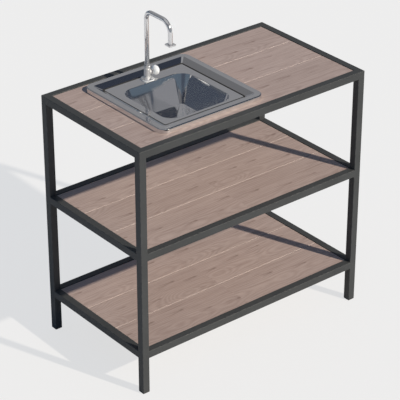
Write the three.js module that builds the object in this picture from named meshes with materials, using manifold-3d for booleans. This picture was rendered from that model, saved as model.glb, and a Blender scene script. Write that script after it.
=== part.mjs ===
// Camp kitchen table: a welded square-tube frame with three plank decks, an inset
// sink in the left of the worktop and a swivelling cold-water tap on the sink's rear
// ledge. Millimetres, +Z up. The origin is on the floor under the centre of the
// footprint, +X runs to the right along the long side and +Y runs to the back.

import * as THREE from 'three';
import { mergeVertices } from 'three/addons/utils/BufferGeometryUtils.js';
import Module from 'manifold-3d';

const wasm = await Module();
wasm.setup();

// ---------------------------------------------------------------- driving dimensions

const LENGTH = 900;            // footprint along X
const DEPTH = 500;             // footprint along Y
const HEIGHT = 850;            // floor to the top of the worktop frame
const SHELF_PITCH = 350;       // step from one level down to the next
const TUBE = 25;               // outside width of the square tube
const WALL = 1.5;              // its wall thickness
const FIT = 0.3;               // clearance between pieces that slide into each other

const PLANK_THICKNESS = 18;
const PLANK_RECESS = 2;        // deck surface below the top of its frame
const PLANK_GAP = 0.6;         // open joint beside every plank
const PLANK_CHAMFER = 1.2;     // broken long edges, which make the V joints
const PLANK_ROWS = ['front', 'middle', 'rear'];

const BEARER_WIDTH = 30;       // flat bars under the planks
const BEARER_THICKNESS = 4;

const SHEET = 1.2;             // sink sheet steel
const SINK_X = -125;           // centre of the sink
const SINK_SIZE = 400;         // outside of its square rim
const SINK_CORNER = 28;        // outside corner radius of the rim
const RIM_TOP = 863;           // height of the raised rim
const RIM_WIDTH = 21;          // flat top of the rim
const SLOPE_RUN = 23;          // sloped band inside the rim
const LEDGE_Z = 851;           // flat ledge around the bowl
const BOWL_Y = -16;            // centre of the bowl, in front of the tap
const BOWL_LENGTH = 256;       // mouth of the bowl along X
const BOWL_WIDTH = 252;        // and along Y
const BOWL_CORNER = 45;
const BOWL_FLOOR_Z = 756;
const BOWL_TAPER = 33;         // how far each wall leans in towards the floor
const BOWL_FILLET = 8;         // between wall and floor
const BOWL_EDGE = 5;           // between wall and ledge
const CUTOUT_SIZE = 340;       // square hole in the worktop planks
const CUTOUT_CORNER = 20;
const SEAL_THICKNESS = 1;      // foam strip under the rim's lip

const DRAIN_RADIUS = 27;       // hole in the bowl's floor
const DRAIN_CUP_DEPTH = 26;
const DRAIN_SPIGOT = 18;       // outlet below the cup
const DRAIN_TAIL = 24;         // hose tail below the outlet

const TAP_Y = 134;             // the tap's axis, on the sink's rear ledge
const NECK_RADIUS = 7.5;
const NECK_BORE = 6;
const NECK_TOP_Z = 1083;       // centreline of the level run
const NECK_REAR_BEND = 26;     // centreline radii of the two bends
const NECK_FRONT_BEND = 38;
const SPOUT_Y = 15;            // centreline of the downward end
const SPOUT_END_Z = 1012;
const FLANGE_RADIUS = 21.5;
const BODY_BASE_Z = 855.5;
const BODY_TOP_Z = 897;
const SHANK_RADIUS = 8;        // threaded pipe through the ledge
const SHANK_HOLE = 8.4;        // bore of everything threaded onto it
const SHANK_END_Z = 800;
const BOSS_REACH = 12.8;       // end of the valve boss, from the tap's axis
const SPINDLE_RADIUS = 3;
const SPINDLE_HOLE = 3.4;
const KNOB_X = -93;
const KNOB_Z = 873;
const KNOB_RADIUS = 16;
const KNOB_HALF_THICKNESS = 12;

const ROUND = 24;              // sides on a round piece
const RIGHT_ANGLE = Math.PI / 2;

const INNER_X = LENGTH / 2 - TUBE;      // half the clear opening between the legs
const INNER_Y = DEPTH / 2 - TUBE;
const LEVELS = [
  { name: 'worktop', top: HEIGHT },
  { name: 'middle', top: HEIGHT - SHELF_PITCH },
  { name: 'lower', top: HEIGHT - 2 * SHELF_PITCH },
];
const DECK_Z = HEIGHT - PLANK_RECESS;   // worktop surface

// ------------------------------------------------------------------------- materials

const MATERIALS = {
  frame: { color: 0x3c3d3d, roughness: 0.55, metalness: 0.3 },
  plastic: { color: 0x1c1c1e, roughness: 0.6, metalness: 0 },
  wood: { color: 0x9f8b82, roughness: 0.75, metalness: 0 },
  sink: { color: 0x8e9094, roughness: 0.22, metalness: 1 },
  chrome: { color: 0xd0d2d6, roughness: 0.08, metalness: 1 },
  rubber: { color: 0x202022, roughness: 0.85, metalness: 0 },
  knob: { color: 0xf0f0ee, roughness: 0.3, metalness: 0 },
  zinc: { color: 0xa6a8aa, roughness: 0.4, metalness: 0.9 },
};

const material = {};
for (const [name, look] of Object.entries(MATERIALS)) {
  material[name] = new THREE.MeshStandardMaterial(look);
}

const table = new THREE.Group();

// Adds one named piece to the table and returns it, so that it can be placed.
function addPiece(name, geometry, finish, parent = table) {
  const piece = new THREE.Mesh(geometry, material[finish]);
  piece.name = name;
  parent.add(piece);
  return piece;
}

// ----------------------------------------------------------------- geometry helpers

// A closed geometry as a solid that can be cut and joined.
function toSolid(geometry) {
  let bare = geometry.clone();
  bare.deleteAttribute('normal');
  bare.deleteAttribute('uv');
  bare = mergeVertices(bare, 1e-4);
  const vertProperties = new Float32Array(bare.attributes.position.array);
  const triVerts = new Uint32Array(bare.index.array);
  return new wasm.Manifold(new wasm.Mesh({ numProp: 3, vertProperties, triVerts }));
}

function toGeometry(solid) {
  const mesh = solid.getMesh();
  const geometry = new THREE.BufferGeometry();
  geometry.setAttribute('position', new THREE.BufferAttribute(mesh.vertProperties, 3));
  geometry.setIndex(new THREE.BufferAttribute(mesh.triVerts, 1));
  geometry.computeVertexNormals();
  return geometry;
}

function cut(geometry, ...cutters) {
  const cutSolid = (rest, cutter) => rest.subtract(toSolid(cutter));
  return toGeometry(cutters.reduce(cutSolid, toSolid(geometry)));
}

function join(geometry, ...others) {
  const joinSolid = (whole, other) => whole.add(toSolid(other));
  return toGeometry(others.reduce(joinSolid, toSolid(geometry)));
}

// A block given by its lowest and highest corners.
function block([x0, y0, z0], [x1, y1, z1]) {
  const geometry = new THREE.BoxGeometry(x1 - x0, y1 - y0, z1 - z0);
  return geometry.translate((x0 + x1) / 2, (y0 + y1) / 2, (z0 + z1) / 2);
}

// An upright cylinder between two heights, on the Z axis.
function post(radius, bottom, top, sides = ROUND) {
  const geometry = new THREE.CylinderGeometry(radius, radius, top - bottom, sides);
  return geometry.rotateX(RIGHT_ANGLE).translate(0, 0, (bottom + top) / 2);
}

// A solid of revolution about Z, from an outline of [radius, height] points. The
// outline runs upwards on the outside, so that the faces point out.
function turned(outline, sides = ROUND) {
  const points = outline.map(([radius, height]) => new THREE.Vector2(radius, height));
  return new THREE.LatheGeometry(points, sides).rotateX(RIGHT_ANGLE);
}

// A turned piece with a hole along its axis: the outline closes on itself.
function turnedRing(outline, sides = ROUND) {
  return turned([...outline, outline[0]], sides);
}

// Points of an arc of [u, v] pairs about a centre, both ends included.
function arc([u, v], radius, startAngle, endAngle, steps) {
  const points = [];
  for (let i = 0; i <= steps; i += 1) {
    const angle = startAngle + ((endAngle - startAngle) * i) / steps;
    points.push([u + radius * Math.cos(angle), v + radius * Math.sin(angle)]);
  }
  return points;
}

// Points of a full circle, or of a regular polygon, about the origin.
function circle(radius, sides = ROUND) {
  return arc([0, 0], radius, 0, 2 * Math.PI, sides).slice(0, -1);
}

function shapeOf(points) {
  return new THREE.Shape(points.map(([u, v]) => new THREE.Vector2(u, v)));
}

// The corners of a rounded rectangle, anticlockwise, as [x, y] points.
function roundedRectangle(halfX, halfY, radius, stepsPerCorner = 5) {
  const corners = [[1, 1], [-1, 1], [-1, -1], [1, -1]];
  return corners.flatMap(([sideX, sideY], quarter) => {
    const centre = [sideX * (halfX - radius), sideY * (halfY - radius)];
    const start = quarter * RIGHT_ANGLE;
    return arc(centre, radius, start, start + RIGHT_ANGLE, stepsPerCorner);
  });
}

// An upright prism of a closed outline, from one height to another.
function prism(outline, bottom, top, holes = []) {
  const shape = shapeOf(outline);
  shape.holes = holes.map(shapeOf);
  const geometry = new THREE.ExtrudeGeometry(shape, { depth: top - bottom, bevelEnabled: false });
  return geometry.translate(0, 0, bottom);
}

// A flat-sided nut between two heights, with a round hole.
function nut(radius, sides, holeRadius, bottom, top) {
  return prism(circle(radius, sides), bottom, top, [circle(holeRadius)]);
}

// A closed skin through a stack of rings that all have the same number of points.
// The first and the last ring are flat and are closed by fans from their centres.
function loft(rings) {
  const count = rings[0].length;
  const centreOf = (ring) => ring
    .reduce((sum, point) => sum.add(point), new THREE.Vector3())
    .divideScalar(count);
  const vertices = [...rings.flat(), centreOf(rings[0]), centreOf(rings.at(-1))];
  const firstCentre = rings.length * count;
  const lastRing = (rings.length - 1) * count;
  const index = [];
  for (let i = 0; i < count; i += 1) {
    const next = (i + 1) % count;
    index.push(firstCentre, i, next);
    index.push(firstCentre + 1, lastRing + next, lastRing + i);
    for (let row = 0; row < lastRing; row += count) {
      index.push(row + i, row + count + i, row + count + next);
      index.push(row + i, row + count + next, row + next);
    }
  }
  const geometry = new THREE.BufferGeometry().setFromPoints(vertices);
  geometry.setIndex(index);
  geometry.computeVertexNormals();
  return geometry;
}

// ----------------------------------------------------------------------- steel frame

const HALF_TUBE = TUBE / 2;
const HALF_BORE = HALF_TUBE - WALL;

function square(reach) {
  return [[-reach, -reach], [reach, -reach], [reach, reach], [-reach, reach]];
}

// A straight piece of square tube with plain ends, standing on z = 0.
function squareTube(length) {
  return prism(square(HALF_TUBE), 0, length, [square(HALF_BORE)]);
}

// A square tube along X with both ends mitred: its long side is the outer one, at -Y.
function mitredTube(length) {
  const outline = [
    [-length / 2, -HALF_TUBE],
    [length / 2, -HALF_TUBE],
    [length / 2 - TUBE, HALF_TUBE],
    [-length / 2 + TUBE, HALF_TUBE],
  ];
  const inside = block([-length, -HALF_BORE, -HALF_BORE], [length, HALF_BORE, HALF_BORE]);
  return cut(prism(outline, -HALF_TUBE, HALF_TUBE), inside);
}

function addLegs() {
  const footFlange = 3;
  const spigotLength = 22;
  const spigot = HALF_BORE - FIT;
  const legTop = HEIGHT - TUBE;
  for (const [rowName, sideY] of [['front', -1], ['rear', 1]]) {
    for (const [sideName, sideX] of [['left', -1], ['right', 1]]) {
      const x = sideX * (LENGTH / 2 - HALF_TUBE);
      const y = sideY * (DEPTH / 2 - HALF_TUBE);
      const leg = addPiece(`leg_${rowName}_${sideName}`, squareTube(legTop - footFlange), 'frame');
      leg.position.set(x, y, footFlange);
      const plug = join(
        prism(square(HALF_TUBE), 0, footFlange),
        prism(square(spigot), 0, footFlange + spigotLength),
      );
      addPiece(`foot_${rowName}_${sideName}`, plug, 'plastic').position.set(x, y, 0);
    }
  }
}

// The worktop frame is mitred like a picture frame and stands on the four legs.
function addWorktopRails() {
  const sides = [
    { name: 'front', length: LENGTH, turn: 0, x: 0, y: -DEPTH / 2 + HALF_TUBE },
    { name: 'right', length: DEPTH, turn: 1, x: LENGTH / 2 - HALF_TUBE, y: 0 },
    { name: 'rear', length: LENGTH, turn: 2, x: 0, y: DEPTH / 2 - HALF_TUBE },
    { name: 'left', length: DEPTH, turn: 3, x: -LENGTH / 2 + HALF_TUBE, y: 0 },
  ];
  for (const side of sides) {
    const rail = addPiece(`worktop_rail_${side.name}`, mitredTube(side.length), 'frame');
    rail.rotation.z = side.turn * RIGHT_ANGLE;
    rail.position.set(side.x, side.y, HEIGHT - HALF_TUBE);
  }
}

// The rails of the two shelves are cut square and welded between the legs.
function addShelfRails(level) {
  const z = level.top - HALF_TUBE;
  for (const [name, sideY] of [['front', -1], ['rear', 1]]) {
    const rail = addPiece(`${level.name}_rail_${name}`, squareTube(2 * INNER_X), 'frame');
    rail.rotation.y = RIGHT_ANGLE;
    rail.position.set(-INNER_X, sideY * (DEPTH / 2 - HALF_TUBE), z);
  }
  for (const [name, sideX] of [['left', -1], ['right', 1]]) {
    const rail = addPiece(`${level.name}_rail_${name}`, squareTube(2 * INNER_Y), 'frame');
    rail.rotation.x = -RIGHT_ANGLE;
    rail.position.set(sideX * (LENGTH / 2 - HALF_TUBE), -INNER_Y, z);
  }
}

// ----------------------------------------------------------------------------- decks

// One plank along X, with its top face at z = 0 and its top long edges broken.
function plankGeometry(fromX, toX, width) {
  const side = width / 2;
  const outline = [
    [-side, -PLANK_THICKNESS],
    [side, -PLANK_THICKNESS],
    [side, -PLANK_CHAMFER],
    [side - PLANK_CHAMFER, 0],
    [-side + PLANK_CHAMFER, 0],
    [-side, -PLANK_CHAMFER],
  ];
  // The outline is drawn in Y and Z, so the prism is stood along X.
  const geometry = prism(outline, fromX, toX);
  return geometry.rotateX(RIGHT_ANGLE).rotateZ(RIGHT_ANGLE);
}

function addPlank(name, row, level, fromX, toX, cutter) {
  const pitch = (2 * INNER_Y) / PLANK_ROWS.length;
  const y = (row - (PLANK_ROWS.length - 1) / 2) * pitch;
  const z = level.top - PLANK_RECESS;
  let geometry = plankGeometry(fromX, toX, pitch - 2 * PLANK_GAP);
  if (cutter) {
    geometry = cut(geometry, cutter.clone().translate(0, -y, -z));
  }
  addPiece(name, geometry, 'wood').position.set(0, y, z);
}

function addShelfPlanks(level) {
  const reach = INNER_X - PLANK_GAP;
  PLANK_ROWS.forEach((rowName, row) => {
    addPlank(`${level.name}_plank_${rowName}`, row, level, -reach, reach);
  });
}

// The worktop's planks are cut out for the sink: the middle one is in two lengths.
function addWorktopPlanks(level) {
  const reach = INNER_X - PLANK_GAP;
  const cutoutLeft = SINK_X - CUTOUT_SIZE / 2;
  const cutoutRight = SINK_X + CUTOUT_SIZE / 2;
  const outline = roundedRectangle(CUTOUT_SIZE / 2, CUTOUT_SIZE / 2, CUTOUT_CORNER);
  const cutter = prism(outline, HEIGHT - TUBE, HEIGHT + TUBE).translate(SINK_X, 0, 0);
  addPlank('worktop_plank_front', 0, level, -reach, reach, cutter);
  addPlank('worktop_plank_middle_left', 1, level, -reach, cutoutLeft);
  addPlank('worktop_plank_middle_right', 1, level, cutoutRight, reach);
  addPlank('worktop_plank_rear', 2, level, -reach, reach, cutter);
}

// Flat bars from the front rail to the rear rail, inside the height of the rails.
function addBearers(level, places) {
  const top = level.top - PLANK_RECESS - PLANK_THICKNESS;
  const bar = block(
    [-BEARER_WIDTH / 2, -INNER_Y, top - BEARER_THICKNESS],
    [BEARER_WIDTH / 2, INNER_Y, top],
  );
  places.forEach((x, i) => {
    addPiece(`${level.name}_bearer_${i + 1}`, bar.clone(), 'frame').position.x = x;
  });
}

// ------------------------------------------------------------------------------ sink

// One ring of the sink's skin: a rounded rectangle at one height.
function sinkRing({ halfX, halfY, radius, z, centreY = 0 }) {
  return roundedRectangle(halfX, halfY, radius).map(
    ([x, y]) => new THREE.Vector3(SINK_X + x, centreY + y, z),
  );
}

// The bowl's wall and floor in section, as [inset from the mouth, height] points from
// the floor up to the ledge. Offset is 0 on the inside skin and SHEET on the outside.
function bowlSection(offset) {
  const edgeRadius = BOWL_EDGE - offset;
  const filletRadius = BOWL_FILLET + offset;
  const lean = BOWL_TAPER / (LEDGE_Z - BOWL_FLOOR_Z);
  const filletInset = BOWL_TAPER + BOWL_FILLET;
  const floorCorner = [filletInset - offset * lean, BOWL_FLOOR_Z + BOWL_FILLET];
  const fillet = arc(floorCorner, filletRadius, -RIGHT_ANGLE, -2 * RIGHT_ANGLE, 4);
  const edge = arc([-BOWL_EDGE, LEDGE_Z - BOWL_EDGE], edgeRadius, 0, RIGHT_ANGLE, 3);
  return [...fillet, ...edge];
}

function bowlRings(offset) {
  return bowlSection(offset).map(([inset, z]) => sinkRing({
    halfX: BOWL_LENGTH / 2 - inset,
    halfY: BOWL_WIDTH / 2 - inset,
    radius: BOWL_CORNER - inset,
    z,
    centreY: BOWL_Y,
  }));
}

// The rim in section: slope, flat top and outer lip, from the ledge outwards.
function rimRings(offset) {
  const outside = SINK_SIZE / 2;
  const slopeTop = outside - RIM_WIDTH;
  const lipTurn = 3;
  const rim = (reach, z) => sinkRing({
    halfX: reach,
    halfY: reach,
    radius: SINK_CORNER - (outside - reach) * 0.4,
    z,
  });
  return [
    rim(slopeTop - SLOPE_RUN, LEDGE_Z - offset),
    rim(slopeTop, RIM_TOP - offset),
    rim(outside - lipTurn, RIM_TOP - offset),
    rim(outside - offset, RIM_TOP - lipTurn),
    rim(outside - offset, DECK_Z + SEAL_THICKNESS),
  ];
}

function addSink() {
  const insideSkin = [...bowlRings(0), ...rimRings(0)];
  const outsideSkin = [...bowlRings(SHEET), ...rimRings(SHEET)];
  const shell = loft([...insideSkin, ...outsideSkin.reverse()]);
  const tapHoleRadius = 10;
  const drainHole = post(DRAIN_RADIUS, BOWL_FLOOR_Z - 5, BOWL_FLOOR_Z + 5);
  const tapHole = post(tapHoleRadius, LEDGE_Z - 5, LEDGE_Z + 5);
  drainHole.translate(SINK_X, BOWL_Y, 0);
  tapHole.translate(SINK_X, TAP_Y, 0);
  addPiece('sink_bowl', cut(shell, drainHole, tapHole), 'sink');
}

// A foam strip between the rim's lip and the planks.
function addSinkSeal() {
  const outside = SINK_SIZE / 2 - 0.5;
  const inside = outside - 9;
  const seal = prism(
    roundedRectangle(outside, outside, SINK_CORNER),
    DECK_Z,
    DECK_Z + SEAL_THICKNESS,
    [roundedRectangle(inside, inside, SINK_CORNER - 6)],
  );
  addPiece('sink_seal', seal, 'rubber').position.x = SINK_X;
}

// Z-shaped straps that hang from the ledge and hook under the edge of the planks.
function addSinkClips() {
  const width = 25;
  const top = LEDGE_Z - SHEET - FIT;
  const bottom = DECK_Z - PLANK_THICKNESS - FIT;
  const thickness = 2;
  const upright = SINK_SIZE / 2 - RIM_WIDTH - SLOPE_RUN;
  const outline = [
    [upright - 8, top - thickness],
    [upright, top - thickness],
    [upright, bottom - thickness],
    [upright + 24, bottom - thickness],
    [upright + 24, bottom],
    [upright + thickness, bottom],
    [upright + thickness, top],
    [upright - 8, top],
  ];
  const strap = prism(outline, -width / 2, width / 2).rotateX(RIGHT_ANGLE);
  const sides = [
    { name: 'right', turn: 0, along: 0 },
    { name: 'rear', turn: 1, along: 90 },
    { name: 'left', turn: 2, along: 0 },
    { name: 'front', turn: 3, along: 0 },
  ];
  for (const side of sides) {
    const holder = new THREE.Group();
    holder.position.x = SINK_X;
    holder.rotation.z = side.turn * RIGHT_ANGLE;
    table.add(holder);
    const clip = addPiece(`sink_clip_${side.name}`, strap.clone(), 'zinc', holder);
    clip.position.y = side.along;
  }
}

// ----------------------------------------------------------------------------- drain

// The waste is a cup through the bowl's floor, held from below by a ring nut, with a
// strainer basket standing on a step inside it and a short tail for a hose. Heights in
// here are measured from the bowl's floor.
function addDrain() {
  const seat = -2;
  const cupOutside = DRAIN_RADIUS - 1;
  const cupBottom = -DRAIN_CUP_DEPTH;
  const spigotEnd = cupBottom - DRAIN_SPIGOT;
  const flange = turnedRing([
    [15, spigotEnd],
    [17, spigotEnd],
    [17, cupBottom - 2],
    [cupOutside, cupBottom],
    [cupOutside, FIT],
    [35, FIT],
    [34, 1.6],
    [26, 1.6],
    [24.6, 0.2],
    [24.6, seat - FIT],
    [23, seat - FIT],
    [23, cupBottom + 1.5],
    [15, cupBottom - 1],
  ]);

  const basketBottom = -21;
  const knobCentre = 7;
  const basket = turned([
    [0, basketBottom],
    [17, basketBottom],
    [20.5, basketBottom + 3],
    [22, seat],
    [23.8, seat],
    [23.8, seat + 1.4],
    [20.8, seat + 1.4],
    [19.4, basketBottom + 4],
    [17, basketBottom + 1.6],
    [3, basketBottom + 1.6],
    [3, knobCentre - 6],
    ...arc([0, knobCentre], 7, -1.1, RIGHT_ANGLE, 8),
  ]);
  const drilling = [];
  for (const [holes, ring] of [[6, 8], [10, 14]]) {
    for (let i = 0; i < holes; i += 1) {
      const angle = (2 * Math.PI * i) / holes;
      const hole = post(1.6, basketBottom - 2, basketBottom + 3, 6);
      drilling.push(hole.translate(ring * Math.cos(angle), ring * Math.sin(angle), 0));
    }
  }

  const nutTop = -SHEET - FIT;
  const locknut = nut(33, 12, cupOutside + FIT, nutTop - 9, nutTop);

  const tailEnd = spigotEnd - DRAIN_TAIL;
  const collarBottom = spigotEnd - 6;
  const tail = turnedRing([
    [13, tailEnd],
    [15, tailEnd],
    [15, collarBottom],
    [20, collarBottom + 1],
    [20, spigotEnd + 12],
    [17 + FIT, spigotEnd + 12],
    [17 + FIT, spigotEnd - FIT],
    [13, spigotEnd - FIT],
  ]);

  const pieces = [
    ['drain_flange', flange, 'sink'],
    ['drain_basket', cut(basket, ...drilling), 'sink'],
    ['drain_locknut', locknut, 'plastic'],
    ['drain_tailpiece', tail, 'plastic'],
  ];
  for (const [name, geometry, finish] of pieces) {
    addPiece(name, geometry, finish).position.set(SINK_X, BOWL_Y, BOWL_FLOOR_Z);
  }
}

// ------------------------------------------------------------------------------- tap

// The neck's centreline in the plane x = 0: up, forward over the bowl and down.
function neckPath(startZ) {
  const at = (y, z) => new THREE.Vector3(0, y - TAP_Y, z);
  const quarter = (centreY, radius, from) => {
    const turn = arc([centreY, NECK_TOP_Z - radius], radius, from, from + RIGHT_ANGLE, 6);
    return turn.map(([y, z]) => at(y, z));
  };
  const points = [
    at(TAP_Y, startZ),
    ...quarter(TAP_Y - NECK_REAR_BEND, NECK_REAR_BEND, 0),
    ...quarter(SPOUT_Y + NECK_FRONT_BEND, NECK_FRONT_BEND, RIGHT_ANGLE),
    at(SPOUT_Y, SPOUT_END_Z),
  ];
  const path = new THREE.CurvePath();
  for (let i = 1; i < points.length; i += 1) {
    path.add(new THREE.LineCurve3(points[i - 1], points[i]));
  }
  return path;
}

function addNeck() {
  const sides = 14;
  const section = shapeOf(circle(NECK_RADIUS, sides));
  section.holes = [shapeOf(circle(NECK_BORE, sides))];
  const startZ = BODY_TOP_Z + FIT;
  const tube = new THREE.ExtrudeGeometry(section, { steps: 42, extrudePath: neckPath(startZ) });
  const spigot = turnedRing([
    [4.5, BODY_TOP_Z - 14],
    [6, BODY_TOP_Z - 14],
    [6, BODY_TOP_Z],
    [7, BODY_TOP_Z + 0.5],
    [7, BODY_TOP_Z + 3],
    [4.5, BODY_TOP_Z + 3],
  ], sides);
  addPiece('faucet_neck', join(tube, spigot), 'chrome').position.set(SINK_X, TAP_Y, 0);
}

// A rounded square plate on the end of the neck, with an open jet in its middle.
function addOutlet() {
  const plate = prism(
    roundedRectangle(13.5, 13.5, 4),
    SPOUT_END_Z - 5.5,
    SPOUT_END_Z - FIT,
    [circle(4, 16)],
  );
  addPiece('faucet_outlet', plate, 'chrome').position.set(SINK_X, SPOUT_Y, 0);
}

// The body: threaded shank, turned barrel, socket for the neck and side boss for the
// valve. The shank passes through the flange and the hole in the sink's ledge.
function addTapBody() {
  const barrel = turned([
    [0, SHANK_END_Z],
    [SHANK_RADIUS, SHANK_END_Z],
    [SHANK_RADIUS, BODY_BASE_Z],
    [12, BODY_BASE_Z],
    [12, 859],
    [9.6, 860],
    [9.6, 863],
    [10.3, 864],
    [10.3, 885],
    [9.2, 886],
    [9.2, 889],
    [10, 890],
    [10, BODY_TOP_Z],
    [0, BODY_TOP_Z],
  ]);
  const boss = post(7, 0, BOSS_REACH).rotateY(RIGHT_ANGLE).translate(0, 0, KNOB_Z);
  const waterway = post(4.5, SHANK_END_Z - 1, BODY_TOP_Z + 1, 16);
  const neckSocket = post(6.5, BODY_TOP_Z - 15, BODY_TOP_Z + 1, 16);
  const spindleSocket = post(SPINDLE_HOLE, 5, BOSS_REACH + 1, 16);
  spindleSocket.rotateY(RIGHT_ANGLE).translate(0, 0, KNOB_Z);
  const body = cut(join(barrel, boss), waterway, neckSocket, spindleSocket);
  addPiece('faucet_body', body, 'chrome').position.set(SINK_X, TAP_Y, 0);

  const ledge = LEDGE_Z + FIT;
  const flange = turnedRing([
    [SHANK_HOLE, ledge],
    [FLANGE_RADIUS, ledge],
    [FLANGE_RADIUS, ledge + 1.2],
    [FLANGE_RADIUS - 2, ledge + 2.6],
    [14, BODY_BASE_Z - FIT],
    [SHANK_HOLE, BODY_BASE_Z - FIT],
  ]);
  addPiece('faucet_flange', flange, 'chrome').position.set(SINK_X, TAP_Y, 0);
}

// Below the ledge: rubber washer, lock nut and the threaded water connector.
function addTapFixings() {
  const underside = LEDGE_Z - SHEET - FIT;
  const washerBottom = underside - 2;
  const place = (name, geometry, finish) => {
    addPiece(name, geometry, finish).position.set(SINK_X, TAP_Y, 0);
  };
  place('faucet_washer', turnedRing([
    [SHANK_HOLE, washerBottom],
    [15, washerBottom],
    [15, underside],
    [SHANK_HOLE, underside],
  ]), 'rubber');
  const nutTop = washerBottom - FIT;
  place('faucet_locknut', nut(14, 6, SHANK_HOLE, nutTop - 8, nutTop), 'zinc');
  place('water_inlet', turnedRing([
    [3.5, 764],
    [5.2, 764],
    [6.4, 769],
    [5.2, 769.5],
    [6.4, 774.5],
    [5.2, 775],
    [6.4, 780],
    [5.2, 780.5],
    [5.2, 788],
    [12, 789],
    [12, 805],
    [SHANK_HOLE, 805],
    [SHANK_HOLE, SHANK_END_Z - 4],
    [3.5, SHANK_END_Z - 4],
  ], 24), 'zinc');
}

// The valve's spindle and round knob lie along +X beside the body.
function addValve() {
  const bossEnd = SINK_X + BOSS_REACH;
  const along = (name, geometry, finish, x) => {
    const piece = addPiece(name, geometry, finish);
    piece.rotation.y = RIGHT_ANGLE;
    piece.position.set(x, TAP_Y, KNOB_Z);
  };
  along('faucet_bonnet', nut(8, 6, SPINDLE_HOLE, 0, 5.4), 'chrome', bossEnd + FIT);
  along('faucet_spindle', post(SPINDLE_RADIUS, 0, 25, 16), 'zinc', SINK_X + 6.5);
  // The knob is a flattened ball with a blind socket for the spindle in its back.
  const socketRadius = SPINDLE_RADIUS + FIT;
  const socketDepth = 1;
  const backAngle = -Math.acos(socketRadius / KNOB_RADIUS);
  const flatten = KNOB_HALF_THICKNESS / KNOB_RADIUS;
  const ball = arc([0, 0], KNOB_RADIUS, backAngle, RIGHT_ANGLE, 14);
  const outline = ball.map(([radius, height]) => [radius, height * flatten]);
  outline[outline.length - 1][0] = 0;
  const knob = turned([[0, socketDepth], [socketRadius, socketDepth], ...outline]);
  along('faucet_knob', knob, 'knob', KNOB_X);
}

// -------------------------------------------------------------------------- assembly

const [worktop, middle, lower] = LEVELS;

addLegs();
addWorktopRails();
addWorktopPlanks(worktop);
addBearers(worktop, [-410, -320, 70, 410]);
for (const shelf of [middle, lower]) {
  addShelfRails(shelf);
  addShelfPlanks(shelf);
  addBearers(shelf, [-410, 0, 410]);
}
addSink();
addSinkSeal();
addSinkClips();
addDrain();
addTapBody();
addTapFixings();
addValve();
addNeck();
addOutlet();

export default table;
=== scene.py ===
"""Looks, light and camera of the camp kitchen table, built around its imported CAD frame.

The axes are the frame's: the origin is on the floor under the middle of the footprint,
+X runs right along the long side, +Y to the back and +Z up. Shapes are drawn in
millimetres here and become metres when their mesh is made.
"""

import math

import bmesh
import bpy
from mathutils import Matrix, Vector


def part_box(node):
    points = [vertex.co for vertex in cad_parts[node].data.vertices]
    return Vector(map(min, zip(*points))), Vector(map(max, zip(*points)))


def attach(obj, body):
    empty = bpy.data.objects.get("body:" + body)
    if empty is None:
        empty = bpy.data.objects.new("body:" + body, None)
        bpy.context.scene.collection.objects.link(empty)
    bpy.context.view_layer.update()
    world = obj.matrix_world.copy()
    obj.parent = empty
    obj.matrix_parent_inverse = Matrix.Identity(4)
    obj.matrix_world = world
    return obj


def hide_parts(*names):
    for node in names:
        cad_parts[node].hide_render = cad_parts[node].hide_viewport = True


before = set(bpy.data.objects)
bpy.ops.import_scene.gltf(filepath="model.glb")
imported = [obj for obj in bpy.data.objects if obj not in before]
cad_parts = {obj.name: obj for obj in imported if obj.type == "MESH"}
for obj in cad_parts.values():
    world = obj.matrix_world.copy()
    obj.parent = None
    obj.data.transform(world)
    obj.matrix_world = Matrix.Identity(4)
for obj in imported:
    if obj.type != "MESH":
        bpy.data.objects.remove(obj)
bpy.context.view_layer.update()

MM = 0.001


def put_in_scene(name, data):
    thing = bpy.data.objects.new(name, data)
    bpy.context.scene.collection.objects.link(thing)
    return thing


def aim(thing, direction):
    """Turns a camera or a lamp to look along a direction."""
    thing.rotation_mode = "QUATERNION"
    thing.rotation_quaternion = Vector(direction).to_track_quat("-Z", "Y")


# ------------------------ sizes shared with CAD

TUBE = 25
HALF_TUBE = TUBE / 2
TUBE_WALL = 1.5
TUBE_ROUNDING = 2
HALF_LENGTH = 450
HALF_DEPTH = 250
LEG_TOP = 825
SHELF_TOPS = {"middle": 500, "lower": 150}

PLANK_CHAMFER = 0.9
PLANK_ROUNDING = 1.2

SINK_X = -125
SHEET = 1.2
RIM_TOP = 863
RIM_WIDTH = 21
SLOPE_RUN = 23
LEDGE_Z = 851
LIP_FOOT = 848.3
SIDE_LEAN = 3              # how far the lip's foot stands outside its top at the sides
FRONT_LEAN = 0.8           # and at the front and back
SINK_HALF = 200
SINK_CORNER = 28
BOWL_Y = -16
BOWL_HALF_X = 128
BOWL_HALF_Y = 126
BOWL_CORNER = 45
BOWL_FLOOR_Z = 756
BOWL_TAPER = 33
ROLLED_EDGE = 4
CUTOUT_HALF = 170
CUTOUT_CORNER = 20

TAP_Y = 134
NECK_RADIUS = 7.5
NECK_TOP_Z = 1083
NECK_REAR_BEND = 26
NECK_FRONT_BEND = 38
SPOUT_Y = 15
SPOUT_END_Z = 1012
BODY_BASE_Z = 855.5
BODY_TOP_Z = 897
KNOB_X = -93
KNOB_Z = 873

DRAIN_PLACE = (SINK_X, BOWL_Y, BOWL_FLOOR_Z)
TAP_PLACE = (SINK_X, TAP_Y, 0)
SHEET_UNDERSIDE = LEDGE_Z - SHEET - 0.3     # where pieces that hang under the ledge begin

# ------------------------ camera

CAMERA_LENS = 164.29
CAMERA_PLACE = (-3.2712, -4.0112, 3.2974)       # metres
TOWARDS_CAMERA = (-0.55074, -0.67961, 0.48457)


def add_camera():
    """A long lens from the front left, about 29 degrees up."""
    data = bpy.data.cameras.new("camera")
    data.sensor_width = 36
    data.lens = CAMERA_LENS
    camera = put_in_scene("camera", data)
    camera.location = CAMERA_PLACE
    aim(camera, -Vector(TOWARDS_CAMERA))
    bpy.context.scene.camera = camera


# ------------------------ materials


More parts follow.
